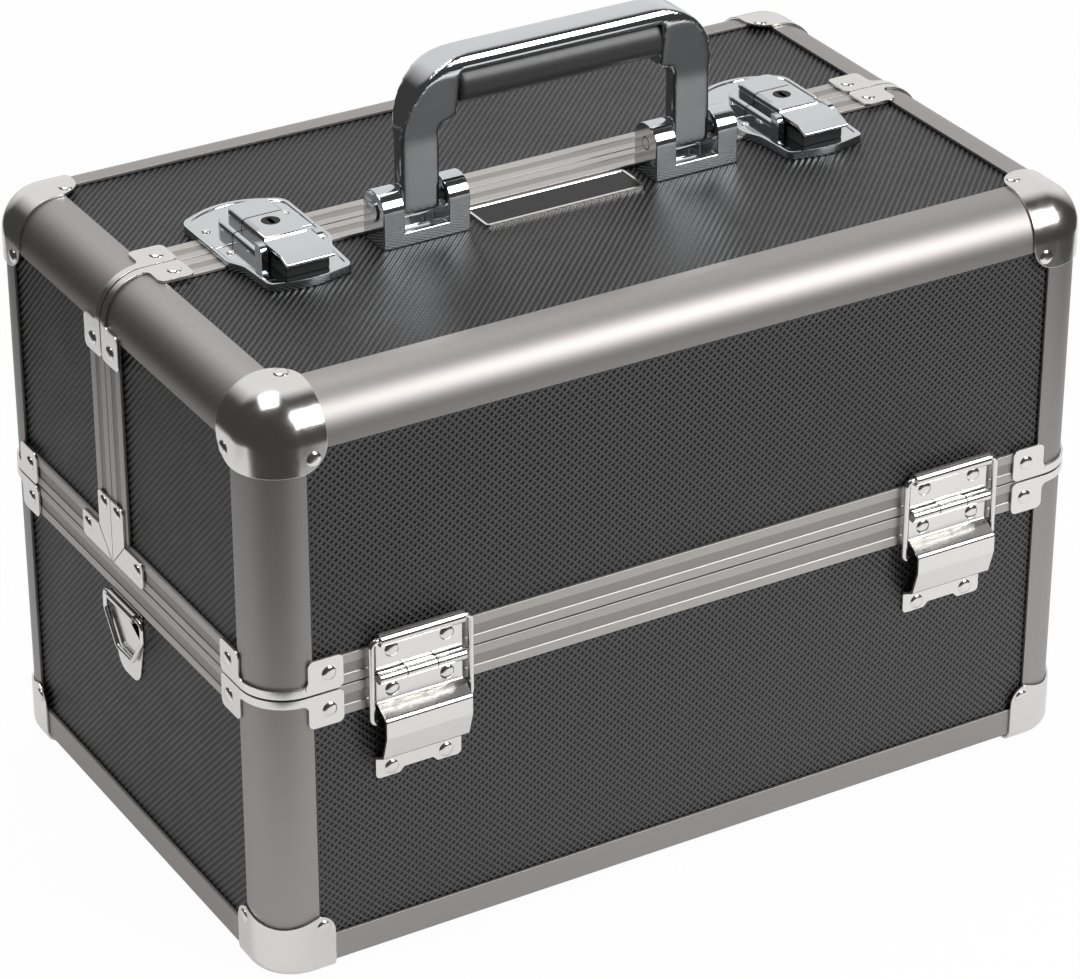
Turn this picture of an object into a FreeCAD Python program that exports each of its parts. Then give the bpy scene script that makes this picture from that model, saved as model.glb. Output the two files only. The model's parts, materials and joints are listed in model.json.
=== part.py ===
import FreeCAD, Part
import math
import os

V = FreeCAD.Vector

# Makeup train case: a panelled box whose upper half opens as two wings, carrying stepped trays.
# X runs along the width, the front faces -Y, +Z is up and the origin is on the floor under the centre.

# Overall sizes of the case, in millimetres
case_w = 360.0
case_d = 222.0
base_h = 118.5
wing_h = 118.5
foot_h = 4.0
seam_y = 11.0
rim_gap = 0.6

# Aluminium extrusions and the panels that slide into them
frame_r = 17.0
frame_face = 20.0
frame_t = 1.4
slot_depth = 5.0
slot_leg = 1.2
panel_t = 3.2
panel_fit = 0.15
rim_face = 12.3
rim_leg = 9.0
groove_w = 4.4
groove_depth = 0.35
bottom_face = 12.0
bottom_r = 1.0
end_fit = 0.1

# Pressed corner caps, riveted brackets and clips
cap_t = 1.0
cap_fit = 0.1
top_cap_reach = 28.0
top_lobe_r = 10.5
bottom_cap_reach = 26.0
bottom_cap_h = 22.3
bottom_cap_sole = 2.2
bottom_cap_r = 4.0
bottom_cap_waist = 18.6
bottom_lobe_r = 8.0
scallop_r = 31.0
flap_inner = 17.5
flap_outer = 32.0
flap_corner_r = 2.5
bracket_h = 14.0
bracket_band = 3.6
clip_depth = 14.0
clip_band = 3.6
tee_leg = 27.0
tee_leg_w = 10.3
tee_foot = 25.5
tee_foot_h = 11.2
tee_mitre_gap = 0.4
tee_corner_r = 2.0
plate_t = 1.0

# Stayed hinges: leaves, pins and wire stays
hinge_inset = 63.0
hinge_w = 36.0
leaf_t = 1.2
knuckle_r = 2.4
pin_r = 1.2
pin_fit = 0.05
press_fit = 0.02
knuckle_gap = 0.3
knuckle_clear = 0.4
knuckle_off = 0.3
mid_knuckle = (-7.0, 6.0)
stay_rise = 16.0
stay_length = 34.5
wire_r = 1.2
roll_r = 2.6
roll_w = 35.0
stay_half_w = 20.6
ramp_top = 11.8
ramp_end = 15.8
pocket_depth = 7.6
pocket_bend = 22.6
pocket_foot = 4.7
pocket_end = 32.3
foot_start = 35.6
foot_end = 41.5
foot_notch_w = 12.0
foot_notch_h = 2.0
foot_corner_r = 2.0
leaf_bend_r = 1.0

# Carrying handle and its brackets
handle_half_w = 67.5
handle_leg_w = 16.5
handle_rise = 70.0
handle_bar_h = 7.0
handle_cuff_w = 23.8
handle_cuff_h = 18.5
handle_cuff_slope = 2.5
handle_cuff_r = 2.0
handle_r = 29.0
leg_t = 7.0
bar_t = 16.0
grip_h = 15.0
grip_t = 15.0
grip_r = 5.0
grip_end_r = 1.5
leg_end_r = 3.0
leg_flare_r = 20.0
bar_blend_r = 12.0
bar_edge_r = 4.5
handle_pivot_h = 12.0
handle_pin_r = 2.5
leg_end = 5.0
pin_head_r = 4.2
pin_head_t = 0.8
bracket_side_gap = 1.0
bracket_rail_gap = 0.4
ear_t = 9.2
ear_half_depth = 8.0
ear_top_flat = 1.0
bracket_bar_h = 5.5
bracket_bar_t = 4.0
bracket_floor_t = 1.5

# Key latches across the seam
latch_half_w = 22.0
latch_front_half_w = 17.2
latch_waist_half_w = 18.4
latch_shoulder = 13.0
latch_waist = 20.0
latch_waist_r = 6.0
latch_front = 38.0
latch_nose = 4.0
latch_nose_r = 30.0
latch_corner_r = 3.0
keeper_side = 25.5
keeper_peak = 36.0
keeper_peak_r = 30.0
keeper_corner_r = 7.0
latch_bead = 1.8
latch_dish = 0.6
latch_plate_t = 2.0
tier_half_w = 13.0
tier_h = 6.0
hump_half_w = 9.0
hump_h = 10.5
hump_wall = 1.1
hump_rear = 15.0
hump_corner_r = 5.0
hump_edge_r = 2.4
tier_corner_r = 7.0
tier_edge_r = 2.2
tier_lap = 2.0
housing_front = 18.5
tongue_half_w = 6.5
tongue_low = 3.7
tongue_t = 1.0
tongue_reach = 4.0
tongue_inset = 0.3
barrel_r = 3.6
barrel_y = 6.2
barrel_flange_r = 4.6
barrel_flange_t = 1.4
key_w = 1.6
key_l = 4.8
key_depth = 3.0
lever_gap = 0.4
lever_l = 19.5
lever_half_w = 10.0
lever_t = 1.5
lever_nose_run = 5.0
lever_nose_drop = 2.0
lever_nose_r = 6.0
lever_lip_r = 0.8
lever_under = 6.7
lever_top = 9.9
lever_knuckle_r = 1.7
lever_pin_r = 0.9
lever_ear_t = 2.6
lever_ear_nose = 1.6
lever_ear_r = 3.0

# Shoulder-strap rings on the ends
ring_y = 5.0
ring_drop = 16.5
ring_half_w = 16.0
ring_side = 8.0
ring_low_half_w = 6.5
ring_h = 21.0
ring_wire_r = 1.0
ring_bend_r = 2.6
ring_clear = 0.3
ring_roll_w = 22.0
ring_plate_w = 26.0
ring_plate_h = 31.0
ring_tip_w = 17.0
ring_plate_t = 0.8
ring_tip_r = 7.0
ring_shoulder = 12.0
ring_shoulder_r = 8.0

# Stepped trays, their parallel arms and pivots
arm_half_l = 25.0
arm_lean_deg = 45.0
arm_w = 10.0
arm_t = 1.5
arm_wall_gap = 5.25
arm_pin_r = 2.5
arm_foot_y = 31.0
arm_foot_drop = 13.5
arm_side_gap = 0.3
tray_wall = 2.0
tray_end_wall = 2.8
tray_floor = 2.0
tray_corner_r = 6.0
tray_pocket_r = 4.0
tray_cells = 3
upper_tray_outer = 16.0
upper_tray_under = 18.9
upper_tray_h = 32.0
lower_tray_in = 45.0
lower_tray_h = 34.0
lower_tray_pin_down = 4.5
tray_seam_gap = 8.0
tray_aft_inset = 8.0
pivot_depth = 2.5
open_pivot_fit = 0.3

# Rubber feet
foot_r = 8.0
foot_taper = 1.5
foot_inset = 36.0

# Planes and places that follow from those sizes
left = -case_w / 2
front = -case_d / 2
floor_z = foot_h
split_z = floor_z + base_h
top_z = split_z + wing_h
rim = rim_gap / 2
slot_w = panel_t + 2 * panel_fit
slot_end = frame_face - slot_depth
shell_t = frame_t + slot_w + slot_leg
panel_out = frame_t + panel_fit
panel_in = panel_out + panel_t
axis_out = knuckle_r + knuckle_off
hinge_x = -left - hinge_inset
handle_pivot_y = seam_y - rim - rim_face - bracket_rail_gap - ear_half_depth
handle_bracket_end = handle_half_w + bracket_side_gap + ear_t
latch_x = (handle_bracket_end - left - flap_outer) / 2
ring_roll_r = ring_plate_t + ring_clear + ring_wire_r
arm_x = -left - panel_in - arm_wall_gap
arm_l = 2 * arm_half_l
lean = math.radians(arm_lean_deg)
cap_span = 2 * max(top_cap_reach, bottom_cap_reach)
over = 1.0


# Shape helpers
def face(points, place):
    """Flat face with (a, b) or (a, b, radius) corners, put in space by place(a, b)."""
    corners = []
    count = len(points)
    for i, point in enumerate(points):
        here = V(point[0], point[1], 0)
        if len(point) == 2:
            corners.append((here, None, here))
            continue
        before = V(*points[i - 1][:2], 0) - here
        after = V(*points[(i + 1) % count][:2], 0) - here
        before.normalize()
        after.normalize()
        half = before.getAngle(after) / 2
        reach = point[2] / math.tan(half)
        inward = before + after
        inward.normalize()
        middle = here + inward * (point[2] / math.sin(half) - point[2])
        corners.append((here + before * reach, middle, here + after * reach))
    edges = []
    for i, (start, middle, end) in enumerate(corners):
        if middle is not None:
            arc = [place(p.x, p.y) for p in (start, middle, end)]
            edges.append(Part.Arc(*arc).toShape())
        following = corners[(i + 1) % count][0]
        if end.distanceToPoint(following) > 1e-6:
            edges.append(Part.LineSegment(place(end.x, end.y), place(following.x, following.y)).toShape())
    return Part.Face(Part.Wire(edges))


def sweep(points, place, way):
    return face(points, place).extrude(way)


def prism_x(points, x0, x1):
    """Prism along X of a (y, z) outline."""
    return sweep(points, lambda a, b: V(x0, a, b), V(x1 - x0, 0, 0))


def prism_y(points, y0, y1):
    """Prism along Y of an (x, z) outline."""
    return sweep(points, lambda a, b: V(a, y0, b), V(0, y1 - y0, 0))


def prism_z(points, z0, z1):
    """Prism along Z of an (x, y) outline."""
    return sweep(points, lambda a, b: V(a, b, z0), V(0, 0, z1 - z0))


def block(x0, x1, y0, y1, z0, z1):
    return Part.makeBox(x1 - x0, y1 - y0, z1 - z0, V(x0, y0, z0))


def rod(start, end, r):
    """Round bar between two points."""
    way = end - start
    return Part.makeCylinder(r, way.Length, start, way)


def rectangle(a0, a1, b0, b1, r=None):
    corner = (r,) if r else ()
    return [(a0, b0) + corner, (a1, b0) + corner, (a1, b1) + corner, (a0, b1) + corner]


def fuse(*shapes):
    return shapes[0].multiFuse(list(shapes[1:])).removeSplitter()


def cut(shape, *tools):
    return shape.cut(list(tools)).removeSplitter()


def strip(path, t):
    """Outline of bent sheet lying t thick on the left of an open path of (a, b) or (a, b, bend radius)."""
    points = [V(*p[:2], 0) for p in path]
    ways = [points[i + 1] - points[i] for i in range(len(points) - 1)]
    for way in ways:
        way.normalize()
    near = []
    far = []
    for i, point in enumerate(points):
        before = ways[max(i - 1, 0)]
        after = ways[min(i, len(ways) - 1)]
        sides = [V(-way.y, way.x, 0) for way in (before, after)]
        mitre = (sides[0] + sides[1]) * (t / (1 + sides[0].dot(sides[1])))
        radii = ((), ())
        if len(path[i]) == 3:
            left_turn = before.cross(after).z > 0
            tight = (path[i][2],)
            wide = (path[i][2] + t,)
            radii = (wide, tight) if left_turn else (tight, wide)
        near.append((point.x, point.y) + radii[0])
        far.append((point.x + mitre.x, point.y + mitre.y) + radii[1])
    return near + far[::-1]


def mirror_x(shape):
    return shape.mirror(V(0, 0, 0), V(1, 0, 0))


def mirror_y(shape):
    return shape.mirror(V(0, 0, 0), V(0, 1, 0))


def both_ends(shape):
    """A left-hand piece and its right-hand twin."""
    return [shape, mirror_x(shape)]


def all_corners(shape):
    """A front-left piece and its three twins."""
    return both_ends(shape) + both_ends(mirror_y(shape))


def wire_loop(corners, r, bend_r):
    """Closed loop of round wire through the corners, with bent corners of radius bend_r."""
    solids = []
    count = len(corners)
    runs = []
    for i, here in enumerate(corners):
        before = corners[i - 1] - here
        after = corners[(i + 1) % count] - here
        before.normalize()
        after.normalize()
        half = before.getAngle(after) / 2
        reach = bend_r / math.tan(half)
        inward = before + after
        inward.normalize()
        centre = here + inward * (bend_r / math.sin(half))
        axis = after.cross(before)
        axis.normalize()
        start = here + before * reach
        section = Part.Face(Part.Wire(Part.makeCircle(r, start, before)))
        solids.append(section.revolve(centre, axis, 180 - math.degrees(2 * half)))
        runs.append((start, here + after * reach))
    for i, (start, end) in enumerate(runs):
        solids.append(rod(end, runs[(i + 1) % count][0], r))
    return fuse(*solids)


# Extruded frame sections. A section's (a, b) are distances inward from its two outer faces.
def corner_extrusion(place, way):
    """Quarter-round edge extrusion with a channel for a panel along each face."""
    inner_r = frame_r - frame_t
    skin = [(frame_face, 0), (0, 0, frame_r), (0, frame_face), (frame_t, frame_face),
            (frame_t, frame_t, inner_r), (frame_face, frame_t)]
    root = frame_t / 2
    channel = [(root, slot_end - slot_leg), (shell_t, slot_end - slot_leg), (shell_t, frame_face),
               (shell_t - slot_leg, frame_face), (shell_t - slot_leg, slot_end), (root, slot_end)]
    twin = [(b, a) for a, b in channel]
    return fuse(*[sweep(outline, place, way) for outline in (skin, channel, twin)])


def edge_channel(place, way):
    """U-shaped edge rail: a grooved outer face, a closing web and an inner leg."""
    groove = (rim_face - groove_w) / 2
    inner = shell_t - slot_leg
    outline = [(0, 0), (shell_t, 0), (shell_t, rim_leg), (inner, rim_leg), (inner, frame_t),
               (frame_t, frame_t), (frame_t, rim_face), (0, rim_face), (0, groove + groove_w),
               (groove_depth, groove + groove_w), (groove_depth, groove), (0, groove)]
    return sweep(outline, place, way)


def bottom_rail(place, way):
    """Plain angle under the bottom edge."""
    outline = [(0, 0, bottom_r), (bottom_face, 0), (bottom_face, frame_t), (frame_t, frame_t),
               (frame_t, bottom_face), (0, bottom_face)]
    return sweep(outline, place, way)


# Pressed metal that wraps a rounded edge
def wrap_bracket(place, way, band):
    """Two flat flaps joined by a narrow band round a quarter-round edge; way is its full depth."""
    near = -cap_fit
    far = -cap_fit - plate_t
    outline = [(flap_outer, far), (far, far, frame_r - far), (far, flap_outer), (near, flap_outer),
               (near, near, frame_r - near), (flap_outer, near)]
    waste = sweep(rectangle(2 * far, flap_inner, 2 * far, flap_inner), place, way)
    unit = V(way)
    unit.normalize()
    waste.translate(unit * band)
    bracket = cut(sweep(outline, place, way), waste)
    return bracket.makeFillet(flap_corner_r, [e for e in bracket.Edges if abs(e.Length - plate_t) < 1e-6])


def edges_at(shape, point):
    return [e for e in shape.Edges if any(v.Point.distanceToPoint(point) < 1e-6 for v in e.Vertexes)]


def round_corner(out, corner, up, r_flat):
    """Solid corner grown outward by out: upright edge of the frame's radius, flat edges of r_flat."""
    low = V(corner.x - out, corner.y - out, corner.z - out if up > 0 else corner.z - cap_span)
    solid = Part.makeBox(cap_span, cap_span, cap_span + out, low)
    tip = V(corner.x - out, corner.y - out, corner.z - up * out)
    if r_flat == frame_r:
        return solid.makeFillet(frame_r + out, edges_at(solid, tip))
    upright = [e for e in edges_at(solid, tip) if abs(e.tangentAt(e.FirstParameter).z) > 0.9]
    solid = solid.makeFillet(frame_r + out, upright)
    rail = [e for e in solid.Edges
            if abs(e.BoundBox.ZMin - tip.z) < 1e-6 and abs(e.BoundBox.ZMax - tip.z) < 1e-6
            and min(e.BoundBox.XMin - tip.x, e.BoundBox.YMin - tip.y) < 1e-6]
    return solid.makeFillet(r_flat + out, rail)


def top_cap():
    """Ball corner for the top, with a rounded lobe on each of its three faces."""
    corner = V(left, front, top_z)
    far = V(left + top_cap_reach, front + top_cap_reach, top_z - top_cap_reach)
    skin = cap_fit + cap_t + over
    reach = block(left - skin, far.x, front - skin, far.y, far.z, top_z + skin)
    reach = reach.makeFillet(top_lobe_r, edges_at(reach, far))
    shell = round_corner(cap_fit + cap_t, corner, -1, frame_r).cut(round_corner(cap_fit, corner, -1, frame_r))
    return shell.common(reach)


def bottom_cap():
    """Bottom corner cup that the case stands on, with two lobes and a hollowed border over the post."""
    corner = V(left, front, floor_z - bottom_cap_sole)
    far = V(left + bottom_cap_reach, front + bottom_cap_reach, floor_z + bottom_cap_h)
    skin = cap_fit + cap_t + over
    reach = block(left - skin, far.x, front - skin, far.y, corner.z - skin, far.z)
    lobes = [e for e in edges_at(reach, far) if abs(e.tangentAt(e.FirstParameter).z) < 0.1]
    reach = reach.makeFillet(bottom_lobe_r, lobes)
    outside = round_corner(cap_fit + cap_t, corner, 1, bottom_cap_r)
    shell = outside.cut(round_corner(cap_fit, corner, 1, bottom_cap_r))
    inward = V(cap_span, cap_span, 0)
    centre = V(left, front, floor_z + bottom_cap_waist + scallop_r)
    return cut(shell.common(reach), rod(centre - inward, centre + inward, scallop_r))


# Base box
def base_nodes():
    rail_x = case_w - 2 * (frame_face + end_fit)
    rail_y = case_d - 2 * (frame_face + end_fit)
    x0 = left + frame_face + end_fit
    y0 = front + frame_face + end_fit
    rim_z = split_z - rim
    post_z = floor_z + bottom_r
    post = corner_extrusion(lambda a, b: V(left + a, front + b, post_z), V(0, 0, rim_z - post_z))
    front_foot = bottom_rail(lambda a, b: V(x0, front + a, floor_z + b), V(rail_x, 0, 0))
    end_foot = bottom_rail(lambda a, b: V(left + a, y0, floor_z + b), V(0, rail_y, 0))
    front_rim = edge_channel(lambda a, b: V(x0, front + a, rim_z - b), V(rail_x, 0, 0))
    end_rim = edge_channel(lambda a, b: V(left + a, y0, rim_z - b), V(0, rail_y, 0))
    panel_low = floor_z + frame_t + panel_fit
    panel_high = rim_z - frame_t - panel_fit
    edge = slot_end + panel_fit
    long_panel = block(left + edge, -left - edge, front + panel_out, front + panel_in, panel_low, panel_high)
    end_panel = block(left + panel_out, left + panel_in, front + edge, -front - edge, panel_low, panel_high)
    for side in (1, -1):
        for foot in arm_feet(side):
            hole = rod(V(left + panel_in, foot.y, foot.z), V(left + panel_in - pivot_depth, foot.y, foot.z),
                       arm_pin_r + pin_fit)
            end_panel = end_panel.cut(hole)
    inset = shell_t + end_fit
    floor = block(left + inset, -left - inset, front + inset, -front - inset, panel_low, panel_low + panel_t)
    bracket = wrap_bracket(lambda a, b: V(left + a, front + b, rim_z), V(0, 0, -bracket_h), bracket_band)
    foot = Part.makeCone(foot_r - foot_taper, foot_r, panel_low, V(left + foot_inset, front + foot_inset, 0))
    return {
        "base_front_panel": [long_panel],
        "base_rear_panel": [mirror_y(long_panel)],
        "base_end_panels": both_ends(end_panel),
        "base_floor_panel": [floor],
        "base_corner_posts": all_corners(post),
        "base_bottom_rails": [front_foot, mirror_y(front_foot)] + both_ends(end_foot),
        "base_rim_rails": [front_rim, mirror_y(front_rim)] + both_ends(end_rim),
        "bottom_corner_caps": all_corners(bottom_cap()),
        "base_corner_brackets": all_corners(bracket),
        "rubber_feet": all_corners(foot),
    }


# Wings. Each is drawn at the front, seam_depth deep, and the rear one is then turned about.
def wing_nodes(seam_depth):
    seam = front + seam_depth - rim
    rim_z = split_z + rim
    x0 = left + frame_face + end_fit
    rail_x = case_w - 2 * (frame_face + end_fit)
    y0 = front + frame_face + end_fit
    post_h = top_z - frame_face - end_fit - rim_z
    post = corner_extrusion(lambda a, b: V(left + a, front + b, rim_z), V(0, 0, post_h))
    face_rail = corner_extrusion(lambda a, b: V(x0, front + a, top_z - b), V(rail_x, 0, 0))
    end_rail = corner_extrusion(lambda a, b: V(left + a, y0, top_z - b), V(0, seam - y0, 0))
    face_rim = edge_channel(lambda a, b: V(x0, front + a, rim_z + b), V(rail_x, 0, 0))
    end_rim = edge_channel(lambda a, b: V(left + a, y0, rim_z + b), V(0, seam - y0, 0))
    top_seam = edge_channel(lambda a, b: V(x0, seam - b, top_z - a), V(rail_x, 0, 0))
    seam_low = rim_z + rim_face + end_fit
    seam_high = top_z - frame_face - end_fit
    end_seam = edge_channel(lambda a, b: V(left + a, seam - b, seam_low), V(0, 0, seam_high - seam_low))
    edge = slot_end + panel_fit
    low = rim_z + frame_t + panel_fit
    inner = seam - frame_t - panel_fit
    top_panel = block(left + edge, -left - edge, front + edge, inner, top_z - panel_in, top_z - panel_out)
    face_panel = block(left + edge, -left - edge, front + panel_out, front + panel_in, low, top_z - edge)
    end_panel = block(left + panel_out, left + panel_in, front + edge, inner, low, top_z - edge)
    pivot = wing_pivot(1)
    end_panel = end_panel.cut(rod(V(left + panel_in, pivot.y, pivot.z),
                                  V(left + panel_in - pivot_depth, pivot.y, pivot.z),
                                  arm_pin_r + open_pivot_fit))
    bracket = wrap_bracket(lambda a, b: V(left + a, front + b, rim_z), V(0, 0, bracket_h), bracket_band)
    clip = wrap_bracket(lambda a, b: V(left + a, seam, top_z - b), V(0, -clip_depth, 0), clip_band)
    leg = [(0, 0), (0, tee_leg), (-tee_leg_w, tee_leg, tee_corner_r), (-tee_leg_w, tee_foot_h)]
    toe = -tee_mitre_gap
    foot = [(toe, 0), (toe - tee_leg_w, tee_foot_h), (-tee_foot, tee_foot_h, tee_corner_r),
            (-tee_foot, 0, tee_corner_r)]
    tee_x = left - cap_fit - plate_t
    tee = []
    for outline in (leg, foot):
        plate = sweep(outline, lambda a, b: V(tee_x, seam + a, rim_z + b), V(plate_t, 0, 0))
        tee += both_ends(plate)
    return {
        "top_panel": [top_panel],
        "face_panel": [face_panel],
        "end_panels": both_ends(end_panel),
        "edge_extrusions": both_ends(post) + [face_rail] + both_ends(end_rail),
        "seam_and_rim_rails": [face_rim, top_seam] + both_ends(end_rim) + both_ends(end_seam),
        "top_corner_caps": both_ends(top_cap()),
        "corner_brackets": both_ends(bracket),
        "end_clips": both_ends(clip),
        "tee_brackets": tee,
        "hinge_leaves": both_ends(upper_leaf()),
    }


# Stayed hinges, drawn at the front left: (n, v) are out from the face and up from the axis
def hinge_place(x):
    return lambda n, v: V(x, front - n, split_z + v)


def hinge_axis_rod(x0, x1, r):
    return rod(V(x0, front - axis_out, split_z), V(x1, front - axis_out, split_z), r)


def lower_leaf():
    x0 = -hinge_x - hinge_w / 2
    x1 = -hinge_x + hinge_w / 2
    bend = leaf_bend_r
    path = [(0, 0), (0, -ramp_top, bend), (pocket_depth, -ramp_end, bend), (pocket_depth, -pocket_bend, bend),
            (pocket_foot, -pocket_end, bend), (-panel_out, -foot_start, bend), (-panel_out, -foot_end)]
    leaf = sweep(strip(path, leaf_t), hinge_place(x0), V(hinge_w, 0, 0))
    middle = [-hinge_x + edge for edge in mid_knuckle]
    foot_z = split_z - foot_end
    corners = [e for e in leaf.Edges if abs(e.Length - leaf_t) < 1e-6 and abs(e.BoundBox.ZMax - foot_z) < 1e-6]
    leaf = leaf.makeFillet(foot_corner_r, corners)
    half = foot_notch_w / 2
    notch = [(-hinge_x - half - foot_notch_h, foot_z), (-hinge_x + half + foot_notch_h, foot_z),
             (-hinge_x + half, foot_z + foot_notch_h), (-hinge_x - half, foot_z + foot_notch_h)]
    notch = prism_y(notch, front - over, front + panel_out + over)
    leaf = cut(leaf, hinge_axis_rod(middle[0], middle[1], knuckle_r + knuckle_clear), notch)
    knuckles = fuse(leaf, hinge_axis_rod(x0, middle[0], knuckle_r), hinge_axis_rod(middle[1], x1, knuckle_r))
    return cut(knuckles, hinge_axis_rod(x0 - over, x1 + over, pin_r + press_fit))


def upper_leaf():
    x0 = -hinge_x - hinge_w / 2
    x1 = -hinge_x + hinge_w / 2
    leaf = sweep(rectangle(0, leaf_t, 0, stay_rise), hinge_place(x0), V(hinge_w, 0, 0))
    middle = [-hinge_x + mid_knuckle[0] + knuckle_gap, -hinge_x + mid_knuckle[1] - knuckle_gap]
    clear = knuckle_r + knuckle_clear
    leaf = cut(leaf, hinge_axis_rod(x0 - over, middle[0], clear), hinge_axis_rod(middle[1], x1 + over, clear))
    roll_y = front - roll_r
    roll_z = split_z + stay_rise
    roll = [V(-hinge_x + side * roll_w / 2, roll_y, roll_z) for side in (-1, 1)]
    leaf = fuse(leaf, hinge_axis_rod(middle[0], middle[1], knuckle_r), rod(roll[0], roll[1], roll_r))
    beyond = V(over, 0, 0)
    return cut(leaf, hinge_axis_rod(x0 - over, x1 + over, pin_r + pin_fit),
               rod(roll[0] - beyond, roll[1] + beyond, wire_r + pin_fit))


def hinge_pin():
    return hinge_axis_rod(-hinge_x - hinge_w / 2, -hinge_x + hinge_w / 2, pin_r)


def stay():
    """Rectangular wire stay: its top bar turns in the roll, its bottom bar runs in the pocket."""
    y = front - roll_r
    high = split_z + stay_rise
    low = high - stay_length
    sides = [-hinge_x - stay_half_w, -hinge_x + stay_half_w]
    corners = [V(sides[0], y, low), V(sides[1], y, low), V(sides[1], y, high), V(sides[0], y, high)]
    return wire_loop(corners, wire_r, 2 * wire_r)


# Trays. The arms stay parallel to the line from a wing's hinge to its tray pivot.
def arm_feet(side):
    """Base pivots of the fore and aft arms of the front (1) or rear (-1) wing."""
    fore = side * (front + arm_foot_y)
    aft_front = tray_inner(side) - tray_aft_inset - arm_l * math.sin(lean)
    z = split_z - arm_foot_drop
    return [V(0, fore, z), V(0, side * aft_front, z)]


def tray_inner(side):
    """Inner edge of a wing's trays, counted from the middle towards the seam, as if at the front."""
    return side * seam_y - tray_seam_gap


def arm_point(side, share):
    """A point along the fore arm, as a share of its length."""
    foot = arm_feet(side)[0]
    return V(0, foot.y + side * share * arm_l * math.sin(lean), foot.z + share * arm_l * math.cos(lean))


def wing_pivot(side):
    """Pivot between a wing's end panel and its upper tray."""
    return V(0, side * (front - axis_out + arm_l * math.sin(lean)), split_z + arm_l * math.cos(lean))


def arm(foot, side):
    """Flat strap with a pin out to the base at its foot and pins in to the trays above."""
    x0 = -arm_x - arm_t
    ends = [foot, foot + V(0, side * arm_l * math.sin(lean), arm_l * math.cos(lean))]
    along = ends[1] - ends[0]
    along.normalize()
    across = V(0, -along.z, along.y) * (arm_w / 2)
    corners = [ends[0] + across, ends[1] + across, ends[1] - across, ends[0] - across]
    strap = prism_x([(p.y, p.z) for p in corners], x0, -arm_x)
    rounds = [rod(V(x0, p.y, p.z), V(-arm_x, p.y, p.z), arm_w / 2) for p in ends]
    wall = left + panel_in - pivot_depth + end_fit
    pins = [rod(V(wall, foot.y, foot.z), V(x0 + arm_t / 2, foot.y, foot.z), arm_pin_r)]
    for share in (0.5, 1.0):
        at = foot + V(0, side * share * arm_l * math.sin(lean), share * arm_l * math.cos(lean))
        inner = -arm_x + arm_side_gap + tray_end_wall
        pins.append(rod(V(-arm_x - arm_t / 2, at.y, at.z), V(inner, at.y, at.z), arm_pin_r))
    return fuse(strap, *rounds, *pins)


def tray(y0, y1, z0, height, pivots):
    """Open tray with cells, rounded inside and out, and holes in its end walls for the arms' pins."""
    end = arm_x - arm_side_gap
    body = prism_z(rectangle(-end, end, min(y0, y1), max(y0, y1), tray_corner_r), z0, z0 + height)
    pitch = (2 * end - 2 * tray_end_wall + tray_wall) / tray_cells
    cells = []
    for i in range(tray_cells):
        x0 = -end + tray_end_wall + i * pitch
        outline = rectangle(x0, x0 + pitch - tray_wall, min(y0, y1) + tray_wall, max(y0, y1) - tray_wall,
                            tray_pocket_r)
        cells.append(prism_z(outline, z0 + tray_floor, z0 + height + over))
    holes = []
    for at in pivots:
        for sign in (-1, 1):
            outside = V(sign * (end + over), at.y, at.z)
            inside = V(sign * (end - tray_end_wall - over), at.y, at.z)
            holes.append(rod(outside, inside, arm_pin_r + pin_fit))
    return cut(body, *cells, *holes)


def tray_nodes(side, name):
    feet = arm_feet(side)
    gap = feet[1] - feet[0]
    middle = arm_point(side, 0.5)
    high = arm_point(side, 1.0)
    pivot = wing_pivot(side)
    inner = side * tray_inner(side)
    lower_y = side * (front + lower_tray_in)
    lower_z = middle.z + lower_tray_pin_down - lower_tray_h
    lower = tray(lower_y, inner, lower_z, lower_tray_h, [middle, middle + gap])
    upper = tray(pivot.y - side * upper_tray_outer, inner, pivot.z - upper_tray_under, upper_tray_h,
                 [high, high + gap])
    end = arm_x - arm_side_gap
    wall = case_w / 2 - panel_in + pivot_depth - end_fit
    root = end - tray_end_wall / 2
    stud = rod(V(-root, pivot.y, pivot.z), V(-wall, pivot.y, pivot.z), arm_pin_r)
    return {
        name + "_fore_arms": both_ends(arm(feet[0], side)),
        name + "_aft_arms": both_ends(arm(feet[1], side)),
        name + "_lower_tray": [lower],
        name + "_upper_tray": [fuse(upper, *both_ends(stud))],
    }


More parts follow.
